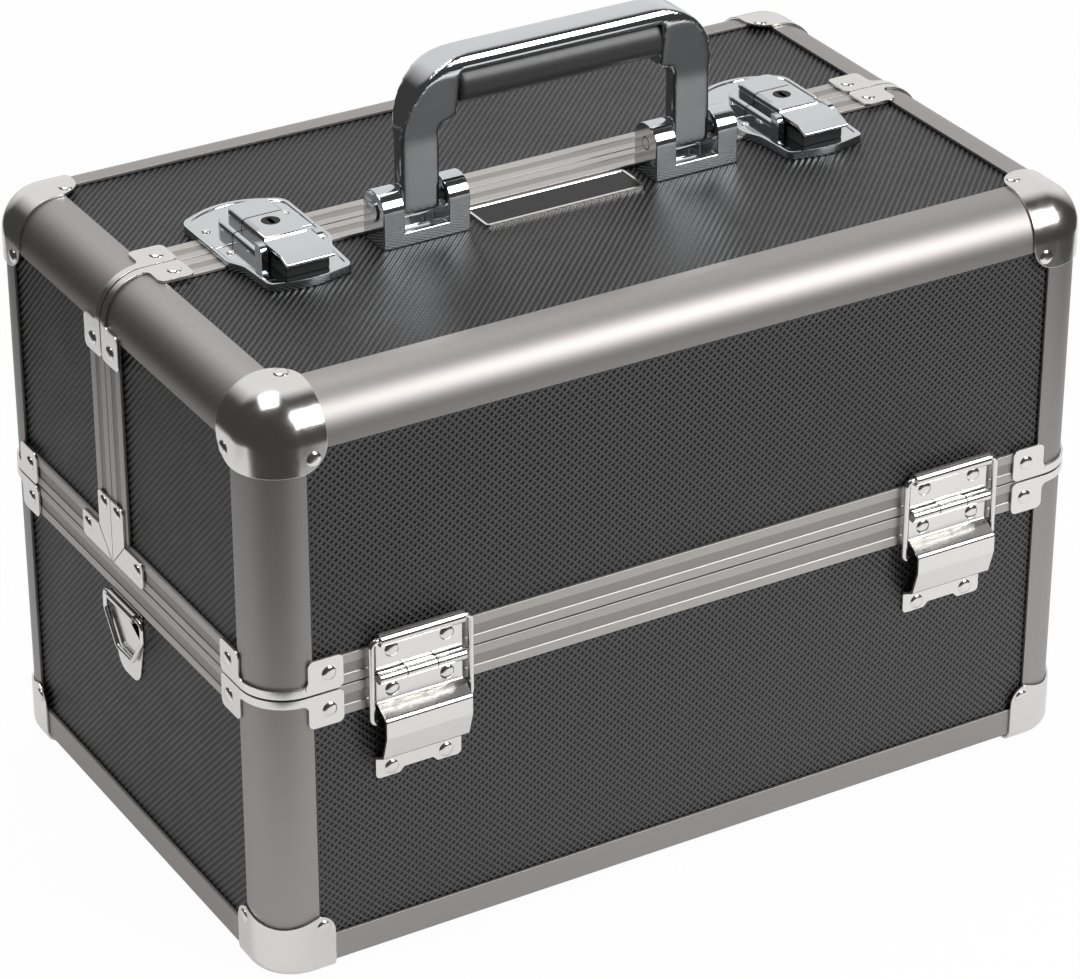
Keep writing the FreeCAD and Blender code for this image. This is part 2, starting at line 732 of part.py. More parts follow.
# Handle
def handle_nodes():
    pivot_z = top_z + handle_pivot_h
    high = top_z + handle_rise
    low = pivot_z - leg_end
    inside = handle_half_w - handle_leg_w
    bar_low = high - handle_bar_h
    outer = prism_y([(-handle_half_w, low), (handle_half_w, low), (handle_half_w, high, handle_r),
                     (-handle_half_w, high, handle_r)], -bar_t, bar_t)
    cuff = handle_half_w - handle_cuff_w
    cuff_low = bar_low - handle_cuff_h
    half_inner = [(inside, low - over), (inside, cuff_low - handle_cuff_slope, handle_cuff_r),
                  (cuff, cuff_low, handle_cuff_r), (cuff, bar_low)]
    inner = prism_y(half_inner + [(-p[0],) + p[1:] for p in half_inner[::-1]], -bar_t, bar_t)
    flare = (pivot_z + bar_low) / 2
    leg = leg_t / 2
    bar = bar_t / 2
    side = [(-leg, low, leg_end_r), (leg, low, leg_end_r), (leg, flare, leg_flare_r),
            (bar, bar_low, bar_blend_r), (bar, high, bar_edge_r),
            (-bar, high, bar_edge_r), (-bar, bar_low, bar_blend_r), (-leg, flare, leg_flare_r)]
    frame = cut(outer, inner).common(prism_x(side, -handle_half_w - over, handle_half_w + over))
    frame.translate(V(0, handle_pivot_y, 0))
    bore_end = V(handle_half_w + over, handle_pivot_y, pivot_z)
    bore = rod(bore_end - V(2 * bore_end.x, 0, 0), bore_end, handle_pin_r + pin_fit)
    frame = cut(frame, bore)
    grip_end = cuff - end_fit
    grip_top = bar_low - end_fit
    grip_low = grip_top - grip_h
    belly = prism_y([(-grip_end, grip_low, grip_end_r), (grip_end, grip_low, grip_end_r),
                     (grip_end, grip_top), (-grip_end, grip_top)], -bar_t, bar_t)
    section = [(-grip_t / 2, grip_top), (grip_t / 2, grip_top), (grip_t / 2, grip_low, grip_r),
               (-grip_t / 2, grip_low, grip_r)]
    grip = belly.common(prism_x(section, -inside, inside))
    grip.translate(V(0, handle_pivot_y, 0))
    centre = handle_half_w - handle_leg_w / 2
    half = handle_leg_w / 2 + bracket_side_gap
    seat_z = top_z - panel_out
    y0 = handle_pivot_y - ear_half_depth
    y1 = handle_pivot_y + ear_half_depth
    ear_top = pivot_z + ear_half_depth
    ear_r = ear_half_depth - ear_top_flat / 2
    ear = [(y0, seat_z), (y1, seat_z), (y1, ear_top, ear_r), (y0, ear_top, ear_r)]
    ears = [prism_x(ear, -centre + sign * half, -centre + sign * (half + ear_t)) for sign in (-1, 1)]
    x0 = -centre - half
    x1 = -centre + half
    bars = [block(x0, x1, y0, y0 + bracket_bar_t, seat_z, seat_z + bracket_bar_h),
            block(x0, x1, y1 - bracket_bar_t, y1, seat_z, seat_z + bracket_bar_h),
            block(x0, x1, y0, y1, seat_z, seat_z + bracket_floor_t)]
    tips = [V(-centre + sign * (half + ear_t), handle_pivot_y, pivot_z) for sign in (-1, 1)]
    beyond = V(over, 0, 0)
    bracket = cut(fuse(*ears, *bars), rod(tips[0] - beyond, tips[1] + beyond, handle_pin_r + press_fit))
    head = V(pin_head_t, 0, 0)
    pin = fuse(rod(tips[0], tips[1], handle_pin_r), rod(tips[0] - head, tips[0], pin_head_r))
    return {
        "handle_frame": [frame],
        "handle_grip": [grip],
        "handle_brackets": both_ends(bracket),
        "handle_pins": both_ends(pin),
    }


# Key latches: y is counted from the seam, forward pieces on the front wing, the keeper on the rear one
def latch_nodes(x, name):
    z = top_z

    def plan(points, low, high):
        return prism_z([(x + p[0], seam_y + p[1]) + tuple(p[2:]) for p in points], z + low, z + high)

    def bar(half_w, y0, y1, low, high):
        return block(x - half_w, x + half_w, seam_y + y0, seam_y + y1, z + low, z + high)

    def softened(solid, r):
        """The solid with its top edges rounded, but for those on the seam."""
        top = solid.BoundBox.ZMax
        edges = [e for e in solid.Edges if abs(e.BoundBox.ZMin - top) < 1e-6
                 and max(abs(v.Y - seam_y) for v in e.Vertexes) > rim + 1e-6]
        return solid.makeFillet(r, edges)

    def front_outline(inset):
        half = [(latch_half_w - inset, -rim), (latch_half_w - inset, -latch_shoulder, latch_waist_r),
                (latch_waist_half_w - inset, -latch_waist, latch_waist_r),
                (latch_front_half_w - inset, -latch_front + inset, latch_corner_r)]
        nose = [(0, -latch_front - latch_nose + inset, latch_nose_r)]
        return half + nose + [(-p[0],) + p[1:] for p in half[::-1]]

    def rear_outline(inset):
        half = [(latch_half_w - inset, rim), (latch_half_w - inset, keeper_side - inset, keeper_corner_r)]
        peak = [(0, keeper_peak - inset, keeper_peak_r)]
        return half + peak + [(-p[0],) + p[1:] for p in half[::-1]]

    dish = latch_plate_t - latch_dish
    plate = cut(plan(front_outline(0), 0, latch_plate_t),
                plan(front_outline(latch_bead), dish, latch_plate_t + over))
    skirt_y = -rim_face - rim - end_fit
    skirt = bar(latch_half_w, -latch_front - latch_nose, skirt_y, -panel_out, 0)
    front_plate = fuse(plate, plan(front_outline(0), -panel_out, 0).common(skirt))
    tier = softened(bar(tier_half_w, -housing_front, -rim, dish, tier_h), tier_edge_r)
    hump = softened(bar(hump_half_w, -housing_front, -rim, dish, hump_h), hump_edge_r)
    cavity = bar(hump_half_w - hump_wall, -housing_front + hump_wall, 0, latch_plate_t, hump_h - hump_wall)
    pin_y = -housing_front - lever_gap - lever_knuckle_r
    pin_h = lever_top - lever_knuckle_r
    span = lever_half_w + lever_gap + lever_ear_t
    ear_front = pin_y - lever_knuckle_r - lever_ear_nose
    ear = [(ear_front, dish), (-housing_front, dish), (-housing_front, lever_top),
           (ear_front, lever_top, lever_ear_r)]
    ears = []
    for sign in (-1, 1):
        ear_x = [x + sign * (lever_half_w + lever_gap), x + sign * span]
        ears.append(prism_x([(seam_y + p[0], z + p[1]) + p[2:] for p in ear], ear_x[0], ear_x[1]))
    pin = [V(x + sign * span, seam_y + pin_y, z + pin_h) for sign in (-1, 1)]
    centre = V(x, seam_y - barrel_y, z)
    crown = centre + V(0, 0, hump_h)
    top_hole = rod(crown - V(0, 0, hump_wall + over), crown + V(0, 0, over), barrel_r + pin_fit)
    tongue_slot = bar(tongue_half_w + lever_gap, -housing_front - over, -housing_front + hump_wall + over,
                      tongue_low - lever_gap, tongue_low + tongue_t + lever_gap)
    beyond = V(over, 0, 0)
    body = cut(fuse(front_plate, tier, hump, *ears), cavity, top_hole, tongue_slot,
               rod(pin[0] - beyond, pin[1] + beyond, lever_pin_r + press_fit))

    dome = [(-hump_half_w, rim), (hump_half_w, rim), (hump_half_w, hump_rear, hump_corner_r),
            (-hump_half_w, hump_rear, hump_corner_r)]
    lap_y = hump_rear + tier_lap
    wide = [(-tier_half_w, rim), (tier_half_w, rim), (tier_half_w, lap_y, tier_corner_r),
            (-tier_half_w, lap_y, tier_corner_r)]
    rear_plate = cut(plan(rear_outline(0), 0, latch_plate_t),
                     plan(rear_outline(latch_bead), dish, latch_plate_t + over))
    rear_skirt = plan(rear_outline(0), -panel_out, 0)
    rear_skirt = rear_skirt.common(bar(latch_half_w, -skirt_y, keeper_peak, -panel_out, 0))
    hollow_w = hump_half_w - hump_wall
    hollow = bar(hollow_w, 0, hump_rear - 3 * hump_wall, latch_plate_t, hump_h - hump_wall)
    keeper = cut(fuse(rear_plate, rear_skirt, softened(plan(wide, dish, tier_h), tier_edge_r),
                      softened(plan(dome, dish, hump_h), hump_edge_r)), hollow)

    tongue_back = -housing_front + tongue_inset
    tongue = bar(tongue_half_w, tongue_back, tongue_reach, tongue_low, tongue_low + tongue_t)
    barrel_low = hump_h - hump_wall - barrel_flange_t - lever_gap
    flange_high = barrel_low + barrel_flange_t
    barrel = fuse(rod(centre + V(0, 0, barrel_low), crown, barrel_r),
                  rod(centre + V(0, 0, barrel_low), centre + V(0, 0, flange_high), barrel_flange_r))
    key = block(x - key_w / 2, x + key_w / 2, centre.y - key_l / 2, centre.y + key_l / 2,
                z + hump_h - key_depth, z + hump_h + over)
    barrel = cut(barrel, key)

    nose = -housing_front - lever_l
    brow = nose + lever_nose_run
    lip = lever_top - lever_nose_drop
    inside = nose + lever_t
    flap = [(pin_y, pin_h - lever_knuckle_r), (pin_y, lever_top), (brow, lever_top, lever_nose_r),
            (nose, lip, lever_lip_r), (nose, lever_under), (inside, lever_under), (inside, lip - lever_lip_r),
            (brow, lever_top - lever_t), (pin_y - lever_knuckle_r, lever_top - lever_t)]
    flap = [(seam_y + p[0], z + p[1]) + tuple(p[2:]) for p in flap]
    inward = V(lever_gap + lever_ear_t, 0, 0)
    lever = fuse(prism_x(flap, x - lever_half_w, x + lever_half_w),
                 rod(pin[0] + inward, pin[1] - inward, lever_knuckle_r))
    lever = cut(lever, rod(pin[0], pin[1], lever_pin_r + pin_fit))
    lever_rod = rod(pin[0], pin[1], lever_pin_r)
    return {
        "latch_bodies": [body, lever_rod],
        "latch_keepers": [keeper],
        "latch_lever_" + name: [lever],
        "latch_tongue_" + name: [tongue],
        "lock_barrel_" + name: [barrel],
    }


# Strap rings, drawn on the left end
def ring_nodes():
    wall = left + panel_out
    bar_z = split_z - ring_drop
    bar_x = wall - ring_roll_r
    half = ring_plate_w / 2
    tip = ring_tip_w / 2
    plate = [(-half, ring_roll_r), (half, ring_roll_r), (half, -ring_shoulder, ring_shoulder_r),
             (tip, -ring_plate_h, ring_tip_r), (-tip, -ring_plate_h, ring_tip_r),
             (-half, -ring_shoulder, ring_shoulder_r)]
    backing = sweep(plate, lambda a, b: V(wall, ring_y + a, bar_z + b), V(-ring_plate_t, 0, 0))
    roll = [V(bar_x, ring_y + sign * ring_roll_w / 2, bar_z) for sign in (-1, 1)]
    beyond = V(0, over, 0)
    backing = cut(fuse(backing, rod(roll[0], roll[1], ring_roll_r)),
                  rod(roll[0] - beyond, roll[1] + beyond, ring_wire_r + pin_fit))
    half_loop = [(ring_half_w, 0), (ring_half_w, ring_side), (ring_low_half_w, ring_h)]
    loop = half_loop + [(-a, drop) for a, drop in half_loop[::-1]]
    corners = [V(bar_x, ring_y + a, bar_z - drop) for a, drop in loop]
    ring = wire_loop(corners, ring_wire_r, ring_bend_r)
    return {
        "ring_plates": both_ends(backing),
        "strap_ring_left": [ring],
        "strap_ring_right": [mirror_x(ring)],
    }


def build():
    """Every node of the case by name, each a list of solids."""
    nodes = base_nodes()
    nodes["hinge_lower_leaves"] = all_corners(lower_leaf())
    nodes["hinge_pins"] = all_corners(hinge_pin())
    for name, side in (("front", 1), ("rear", -1)):
        wing = wing_nodes(case_d / 2 + side * seam_y)
        for node, solids in wing.items():
            nodes[f"{name}_wing_{node}"] = solids if side > 0 else [mirror_y(s) for s in solids]
        stays = both_ends(stay())
        nodes[f"{name}_hinge_stays"] = stays if side > 0 else [mirror_y(s) for s in stays]
        nodes.update(tray_nodes(side, name))
    nodes.update(handle_nodes())
    for name, x in (("left", -latch_x), ("right", latch_x)):
        for node, solids in latch_nodes(x, name).items():
            nodes[node] = nodes.get(node, []) + solids
    nodes.update(ring_nodes())
    return nodes


def export(nodes):
    os.makedirs("parts", exist_ok=True)
    for name, solids in nodes.items():
        shape = solids[0] if len(solids) == 1 else Part.makeCompound(solids)
        shape.exportStep(f"parts/{name}.step")
    print(len(nodes), "nodes,", sum(len(s) for s in nodes.values()), "solids")


export(build())
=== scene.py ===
# %% [markdown]
# A makeup train case: embossed black panels held in satin gunmetal extrusions, with bright plated corners,
# hinges, latches and handle. The solids come from the CAD frame at their real size, and this lesson gives
# them their looks. The frame comes first, because every piece is placed on it and nothing in it moves.

# %% Load the frame
import json
import math
import bmesh
import bpy
from mathutils import Matrix, Vector


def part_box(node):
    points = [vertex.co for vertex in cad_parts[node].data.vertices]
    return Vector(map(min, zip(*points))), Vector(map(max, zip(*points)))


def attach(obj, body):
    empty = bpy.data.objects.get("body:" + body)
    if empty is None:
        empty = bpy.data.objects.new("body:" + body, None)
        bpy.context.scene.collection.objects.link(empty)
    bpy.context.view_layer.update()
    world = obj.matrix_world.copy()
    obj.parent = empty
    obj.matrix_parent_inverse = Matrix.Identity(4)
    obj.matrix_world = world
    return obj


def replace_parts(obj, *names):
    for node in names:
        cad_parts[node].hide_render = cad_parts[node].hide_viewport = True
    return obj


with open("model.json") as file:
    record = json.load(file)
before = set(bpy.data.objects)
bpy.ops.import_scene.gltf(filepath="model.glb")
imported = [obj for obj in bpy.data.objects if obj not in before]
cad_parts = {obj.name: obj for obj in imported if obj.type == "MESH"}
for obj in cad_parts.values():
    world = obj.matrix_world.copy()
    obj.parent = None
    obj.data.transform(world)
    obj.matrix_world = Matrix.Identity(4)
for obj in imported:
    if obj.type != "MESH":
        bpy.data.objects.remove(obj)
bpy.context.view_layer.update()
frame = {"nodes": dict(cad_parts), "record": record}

MM = 0.001
nodes = frame["nodes"]
bodies = frame["record"]["behaviour"]["bodies"]
body_of = {node: body for body, members in bodies.items() for node in members}

# %% [markdown]
# The case was photographed with a long lens from above its front left corner. A camera fitted to its
# straight edges gives the angle and the distance, so the model is seen here just as the case was. A long
# lens keeps the edges nearly parallel, which is why product photographers choose one.

# %% Camera
IMAGE_WIDTH = 1080
FOCAL_PIXELS = 4313.5
SENSOR_MM = 36.0
CAMERA_AZIMUTH = -30.5
CAMERA_ELEVATION = 29.17
CAMERA_PLACE = (-0.758, -1.2866, 0.9415)

scene = bpy.context.scene
camera_data = bpy.data.cameras.new("camera")
camera_data.sensor_fit = "HORIZONTAL"
camera_data.sensor_width = SENSOR_MM
camera_data.lens = FOCAL_PIXELS * SENSOR_MM / IMAGE_WIDTH
camera = bpy.data.objects.new("camera", camera_data)
camera.location = CAMERA_PLACE
camera.rotation_euler = (math.radians(90 - CAMERA_ELEVATION), 0, math.radians(CAMERA_AZIMUTH))
scene.collection.objects.link(camera)
scene.camera = camera
print("lens in mm:", round(camera_data.lens, 1))

# %% [markdown]
# Three small helpers serve every finish. Colours are written as the hex values that a screen shows, and
# Blender mixes light in linear values, so one function turns the first into the second. The next adds a
# shader node with its settings, and feeds its sockets with numbers or with the outputs of other nodes. The
# last starts a material with plain values, which patterns can then vary.

# %% Helpers for finishes
def linear(colour):
    # the numbers are those of the sRGB standard
    parts = [int(colour[i:i + 2], 16) / 255 for i in (1, 3, 5)]
    return [part / 12.92 if part <= 0.04045 else ((part + 0.055) / 1.055) ** 2.4 for part in parts] + [1.0]


def add(tree, kind, inputs=None, **settings):
    node = tree.nodes.new("ShaderNode" + kind)
    for name, value in settings.items():
        setattr(node, name, value)
    for socket, value in (inputs or {}).items():
        if isinstance(value, bpy.types.NodeSocket):
            tree.links.new(value, node.inputs[socket])
        else:
            node.inputs[socket].default_value = value
    return node


def finish(name, colour, roughness, **sockets):
    material = bpy.data.materials.new(name)
    material.use_nodes = True
    shader = material.node_tree.nodes["Principled BSDF"]
    shader.inputs["Base Color"].default_value = linear(colour)
    shader.inputs["Roughness"].default_value = roughness
    for socket, value in sockets.items():
        shader.inputs[socket.replace("_", " ")].default_value = value
    return material, material.node_tree, shader


print("middle grey in linear values:", [round(part, 3) for part in linear("#808080")])

# %% [markdown]
# The case stands on white background paper, as for a catalogue. The paper runs on behind the case and ends a
# little way in front of it, so that polished metal shows where it ends. It is one flat sheet, turned to lie
# square to the camera. Most of its white is given as light to the camera and less of it to mirrors, so it
# looks clean and still keeps the shadow of the case.

# %% Background paper
PAPER_FRONT = 0.38
PAPER_BACK = 6.0
PAPER_HALF_W = 0.55
GLOW_SEEN = 0.97
GLOW_MIRRORED = 0.4


def background_paper():
    # matt paper: clean white, with a soft grey shadow under the case
    material, tree, shader = finish("white background paper", "#efefef", 0.85)
    ray = add(tree, "LightPath").outputs
    either = {0: ray["Is Glossy Ray"], 1: ray["Is Transmission Ray"]}
    mirrored = add(tree, "Math", either, operation="MAXIMUM").outputs[0]
    dim = add(tree, "Math", {0: mirrored, 1: GLOW_MIRRORED}, operation="MULTIPLY").outputs[0]
    share = add(tree, "Math", {0: ray["Is Camera Ray"], 1: GLOW_SEEN, 2: dim}, operation="MULTIPLY_ADD")
    glow = add(tree, "Emission", {"Color": linear("#ffffff"), "Strength": 1.0})
    mixed = add(tree, "MixShader", {0: share.outputs[0], 1: shader.outputs[0], 2: glow.outputs[0]})
    tree.links.new(mixed.outputs[0], tree.nodes["Material Output"].inputs["Surface"])
    return material


bm = bmesh.new()
bmesh.ops.create_grid(bm, x_segments=1, y_segments=1, size=0.5)
bmesh.ops.scale(bm, vec=(2 * PAPER_HALF_W, PAPER_FRONT + PAPER_BACK, 1), verts=bm.verts)
bmesh.ops.translate(bm, vec=(0, (PAPER_BACK - PAPER_FRONT) / 2, 0), verts=bm.verts)
bmesh.ops.rotate(bm, matrix=Matrix.Rotation(math.radians(CAMERA_AZIMUTH), 3, "Z"), verts=bm.verts)
sheet = bpy.data.meshes.new("background paper")
bm.to_mesh(sheet)
bm.free()
sheet.materials.append(background_paper())
floor = bpy.data.objects.new("background paper", sheet)
scene.collection.objects.link(floor)
print("paper in m:", 2 * PAPER_HALF_W, "by", PAPER_FRONT + PAPER_BACK)

# %% [markdown]
# Around the case is a dark studio with a white sweep behind it. Polished metal shows the sweep, the paper and
# the dark room in turn, and that change from white to dark is what makes it look like metal. The room could
# be built from walls, but the world's background is enough: a ramp goes from dark to white as a direction
# nears the middle of the sweep. Beyond the paper the camera sees plain white.

# %% Studio room
ROOM_DARK = "#434241"
ROOM_WHITE = "#f2f2f2"
SWEEP_MIDDLE = (0.443, 0.752, 0.487)
# cosines of the angles at which the sweep ends and at which it is fully white
SWEEP_FADE = (0.56, 0.8)

scene.view_settings.view_transform = "Standard"
scene.world = bpy.data.worlds.new("studio room")
scene.world.use_nodes = True
room = scene.world.node_tree
seen = add(room, "LightPath").outputs["Is Camera Ray"]
direction = add(room, "TexCoord").outputs["Generated"]
facing = add(room, "VectorMath", {0: direction, 1: SWEEP_MIDDLE}, operation="DOT_PRODUCT")
walls = add(room, "ValToRGB", {"Fac": facing.outputs["Value"]})
for element, position, colour in zip(walls.color_ramp.elements, SWEEP_FADE, (ROOM_DARK, ROOM_WHITE)):
    element.position = position
    element.color = linear(colour)
shown = add(room, "Mix", {0: seen, 6: walls.outputs["Color"], 7: linear("#ffffff")}, data_type="RGBA")
room.links.new(shown.outputs[2], room.nodes["Background"].inputs["Color"])
fade = [round(math.degrees(math.acos(share))) for share in SWEEP_FADE]
print("the sweep fades from", fade[1], "to", fade[0], "degrees off its middle")

# %% [markdown]
# Two softboxes light the case. A weak one hangs above it and lights the top, and a stronger one stands to the
# right of the camera and lights the front. A softbox is an area lamp here: its size sets how soft the shadows
# are, and it is turned towards the middle of the case.

# %% Softboxes
LIGHT_AIM = Vector((0, 0, 0.14))
# place in m, width and height in m, power in watts
SOFTBOXES = {
    "overhead softbox": ((-0.35, 0.15, 1.7), (1.0, 0.9), 13),
    "front softbox": ((0.95, -1.6, 1.35), (0.8, 1.2), 36),
}
for name, (place, size, watts) in SOFTBOXES.items():
    lamp = bpy.data.lights.new(name, "AREA")
    lamp.shape = "RECTANGLE"
    lamp.size, lamp.size_y = size
    lamp.energy = watts
    holder = bpy.data.objects.new(name, lamp)
    holder.location = place
    holder.rotation_euler = (LIGHT_AIM - Vector(place)).to_track_quat("-Z", "Y").to_euler()
    scene.collection.objects.link(holder)
    print(name, watts, "W")

# %% [markdown]
# The panels are thin boards skinned with a black laminate that was rolled with fine diagonal ribs, 2.26 mm
# from crest to crest. On the top and the ends one set of ribs stands out; on the front and the back two sets
# cross, and leave small hollows between them. The relief is a fraction of a millimetre, so two wave
# textures at 45 degrees give it as a bump. The hollows are painted near black, a painted shade, and the
# crests a paler grey. Each face turns the waves into its own plane, and has its own crest grey, painted
# lighter or darker for the light that falls on that face.

# %% Embossed black laminate
RIB_PITCH = 2.26 * MM
RIB_HEIGHT = 0.3 * MM
RIB_ANGLE = math.radians(45)
QUARTER = math.radians(90)
# a wave texture repeats every 2 pi / 20 units at a scale of 1
WAVE_SCALE = 2 * math.pi / 20 / RIB_PITCH
# up to this share of its height a rib is painted as dark as the hollow beside it, as painted shade
RIB_SHOULDER = 0.5
HOLLOW_PAINTED_SHADE = "#050506"
RUB_SIZE = 18 * MM
RUB_GLOSS = (0.3, 0.42)


def embossed_laminate(name, turn, ribs, crossing, crest, sheen):
    # satin plastic skin: a soft dark sheen, with fine pale crests over hollows painted black as shade
    material, tree, shader = finish("embossed black laminate, " + name, crest, RUB_GLOSS[0],
                                    Specular_IOR_Level=sheen)
    place = add(tree, "TexCoord").outputs["Object"]
    flat = add(tree, "Mapping", {"Vector": place, "Rotation": turn})
    across = add(tree, "Mapping", {"Vector": flat.outputs[0], "Rotation": (0, 0, RIB_ANGLE)})
    rib, weft = [add(tree, "TexWave", {"Vector": across.outputs[0], "Scale": WAVE_SCALE},
                     bands_direction=axis).outputs["Fac"] for axis in ribs]
    thin = add(tree, "Math", {0: weft, 1: crossing}, operation="MULTIPLY")
    relief = add(tree, "Math", {0: rib, 1: thin.outputs[0]}, operation="MAXIMUM").outputs[0]
    bump = add(tree, "Bump", {"Height": relief, "Strength": 1.0, "Distance": RIB_HEIGHT})
    # painted shade: the ramp paints the hollows near black and the crests in the face's crest grey
    tone = add(tree, "ValToRGB", {"Fac": relief})
    for element, position, colour in zip(tone.color_ramp.elements, (RIB_SHOULDER, 1), (HOLLOW_PAINTED_SHADE, crest)):
        element.position = position
        element.color = linear(colour)
    rub = add(tree, "TexNoise", {"Vector": place, "Scale": 1 / RUB_SIZE, "Detail": 3.0})
    limits = {"To Min": RUB_GLOSS[0], "To Max": RUB_GLOSS[1]}
    gloss = add(tree, "MapRange", {"Value": rub.outputs["Fac"], **limits})
    tree.links.new(bump.outputs[0], shader.inputs["Normal"])
    tree.links.new(tone.outputs[0], shader.inputs["Base Color"])
    tree.links.new(gloss.outputs[0], shader.inputs["Roughness"])
    return material


# the top: fine slanting stripes with a soft sheen; the crests are painted darker, against the strong light
# from above
laminate_top = embossed_laminate("top", (0, 0, 0), "XY", crossing=0.3, crest="#474747", sheen=0.3)
# the front and the back: an even net of dots painted dark as shade, under a crest grey set for the light on
# the faces
laminate_face = embossed_laminate("face", (-QUARTER, 0, 0), "XY", crossing=0.95, crest="#545454",
                                  sheen=0.45)
# the ends: slanting stripes with little sheen; the crests are painted paler, to make up for the shade on the
# ends
laminate_end = embossed_laminate("end", (0, QUARTER, 0), "YX", crossing=0.25, crest="#565656", sheen=0.16)
print("wave scale for a", RIB_PITCH / MM, "mm rib:", round(WAVE_SCALE, 1))

# %% [markdown]
# The edges are aluminium extrusions, etched to a satin and anodised in a warm gunmetal grey. Anodised metal
# keeps a metallic look with a broad soft highlight, and the etch leaves a fine mottle that shows a little in
# the tone and in the gloss. So one noise drives both. The rails along the rims are painted a shade paler than
# the posts, a painted light, and the bottoms of their grooves keep the posts' grey and are duller.

# %% Gunmetal anodised aluminium
# the etched grain is finer than this on the real metal, and 0.6 mm lets it show
ETCH_SIZE = 0.6 * MM


def anodised_aluminium(name, dark, light, low, high):
    # etched and dyed metal: a warm grey with a broad soft highlight
    material, tree, shader = finish(name, dark, low, Metallic=1.0)
    place = add(tree, "TexCoord").outputs["Object"]
    grain = add(tree, "TexNoise", {"Vector": place, "Scale": 1 / ETCH_SIZE, "Detail": 2.0})
    gloss = add(tree, "MapRange", {"Value": grain.outputs["Fac"], "To Min": low, "To Max": high})
    tone = add(tree, "ValToRGB", {"Fac": grain.outputs["Fac"]})
    for element, colour in zip(tone.color_ramp.elements, (dark, light)):
        element.color = linear(colour)
    tree.links.new(gloss.outputs[0], shader.inputs["Roughness"])
    tree.links.new(tone.outputs[0], shader.inputs["Base Color"])
    return material


# posts and rounded edges: a satin grey
aluminium = anodised_aluminium("gunmetal anodised aluminium",
                               "#a29e9c", "#ada9a7", low=0.46, high=0.56)
# rim rails: the same satin, painted a shade paler as painted light
rim_aluminium = anodised_aluminium("gunmetal anodised aluminium, painted paler on the rim rails",
                                   "#bcb8b5", "#c7c3c0", low=0.48, high=0.58)
# groove bottoms: the posts' grey, duller, so a darker line shows between two rims painted paler
groove_aluminium = anodised_aluminium("gunmetal anodised aluminium in the grooves",
                                      "#a19d9a", "#aca8a5", low=0.5, high=0.6)
print("anodised finishes:", [metal.name for metal in (aluminium, rim_aluminium, groove_aluminium)])

# %% [markdown]
# Corners, hinges, latches and handle are pressed or cast metal with a bright nickel or chrome plate. Plate
# follows the metal under it, so it is a clear mirror with a slight wave, and pressed sheet is a little softer
# than castings. The arms of the trays are zinc-plated steel and the lock barrels are blackened brass, both
# duller. One function makes all four, because only the colour, the gloss and the wave differ.

# %% Bright plate
RIPPLE_SIZE = 9 * MM
HAZE_SIZE = 3 * MM


def bright_plate(name, colour, low, high, wave_mm):
    # plated metal: a mirror that bends slightly and is clearer in some spots than in others
    material, tree, shader = finish(name, colour, low, Metallic=1.0)
    place = add(tree, "TexCoord").outputs["Object"]
    ripple = add(tree, "TexNoise", {"Vector": place, "Scale": 1 / RIPPLE_SIZE, "Detail": 1.0})
    bump = add(tree, "Bump", {"Height": ripple.outputs["Fac"], "Strength": 1.0, "Distance": wave_mm * MM})
    haze = add(tree, "TexNoise", {"Vector": place, "Scale": 1 / HAZE_SIZE, "Detail": 4.0})
    gloss = add(tree, "MapRange", {"Value": haze.outputs["Fac"], "To Min": low, "To Max": high})
    tree.links.new(bump.outputs[0], shader.inputs["Normal"])
    tree.links.new(gloss.outputs[0], shader.inputs["Roughness"])
    return material


# handle and latches: a cool, clear mirror
cast_chrome = bright_plate("chrome on castings", "#d2d5d7", low=0.06, high=0.14, wave_mm=0.04)
# corners, brackets, hinges and rivets: a warm white shine, a little softer
pressed_nickel = bright_plate("nickel on pressed sheet", "#e2e0dd", low=0.14, high=0.24, wave_mm=0.03)
# tray arms: a dull grey shine
zinc_plate = bright_plate("zinc plate on steel", "#b4b6b8", low=0.24, high=0.4, wave_mm=0.03)
# lock barrels: nearly black, with a faint glint
black_brass = bright_plate("blackened brass of the lock barrels", "#242322", low=0.3, high=0.45, wave_mm=0.03)
print("plated finishes:", [metal.name for metal in (cast_chrome, pressed_nickel, zinc_plate, black_brass)])

# %% [markdown]
# The grip and the trays are moulded plastic. A moulding takes the grain of its tool, a fine even texture that
# spreads the highlight. The feet are rubber, which is rougher still, and the inside of the boards is flocked:
# short fibres stand on glue there, and almost no light comes back. A noise in the size of the grain gives all
# of these their relief and their gloss.

# %% Moulded plastic, rubber and flock
GRAIN_STRENGTH = 0.6
GLOSS_BELOW = 0.06
GLOSS_ABOVE = 0.08


def moulded(name, colour, roughness, grain_mm, depth_mm):
    # grained surface: a dark colour under a highlight that the grain breaks up
    material, tree, shader = finish(name, colour, roughness)
    place = add(tree, "TexCoord").outputs["Object"]
    noise = add(tree, "TexNoise", {"Vector": place, "Scale": 1 / (grain_mm * MM), "Detail": 3.0})
    grain = noise.outputs["Fac"]
    bump = add(tree, "Bump", {"Height": grain, "Strength": GRAIN_STRENGTH, "Distance": depth_mm * MM})
    limits = {"To Min": roughness - GLOSS_BELOW, "To Max": roughness + GLOSS_ABOVE}
    gloss = add(tree, "MapRange", {"Value": grain, **limits})
    tree.links.new(bump.outputs[0], shader.inputs["Normal"])
    tree.links.new(gloss.outputs[0], shader.inputs["Roughness"])
    return material


# grip: black plastic painted a dark grey as a painted sheen, with a soft streak of light
grip_plastic = moulded("moulded black grip plastic", "#424242", 0.36, grain_mm=0.8, depth_mm=0.02)
# trays: near black with a satin shine
tray_plastic = moulded("moulded black tray plastic", "#1e1e1f", 0.42, grain_mm=1.0, depth_mm=0.05)
# feet, and the blocks of painted shade under the latch levers: dull black
foot_rubber = moulded("moulded black rubber", "#191919", 0.68, grain_mm=1.5, depth_mm=0.08)
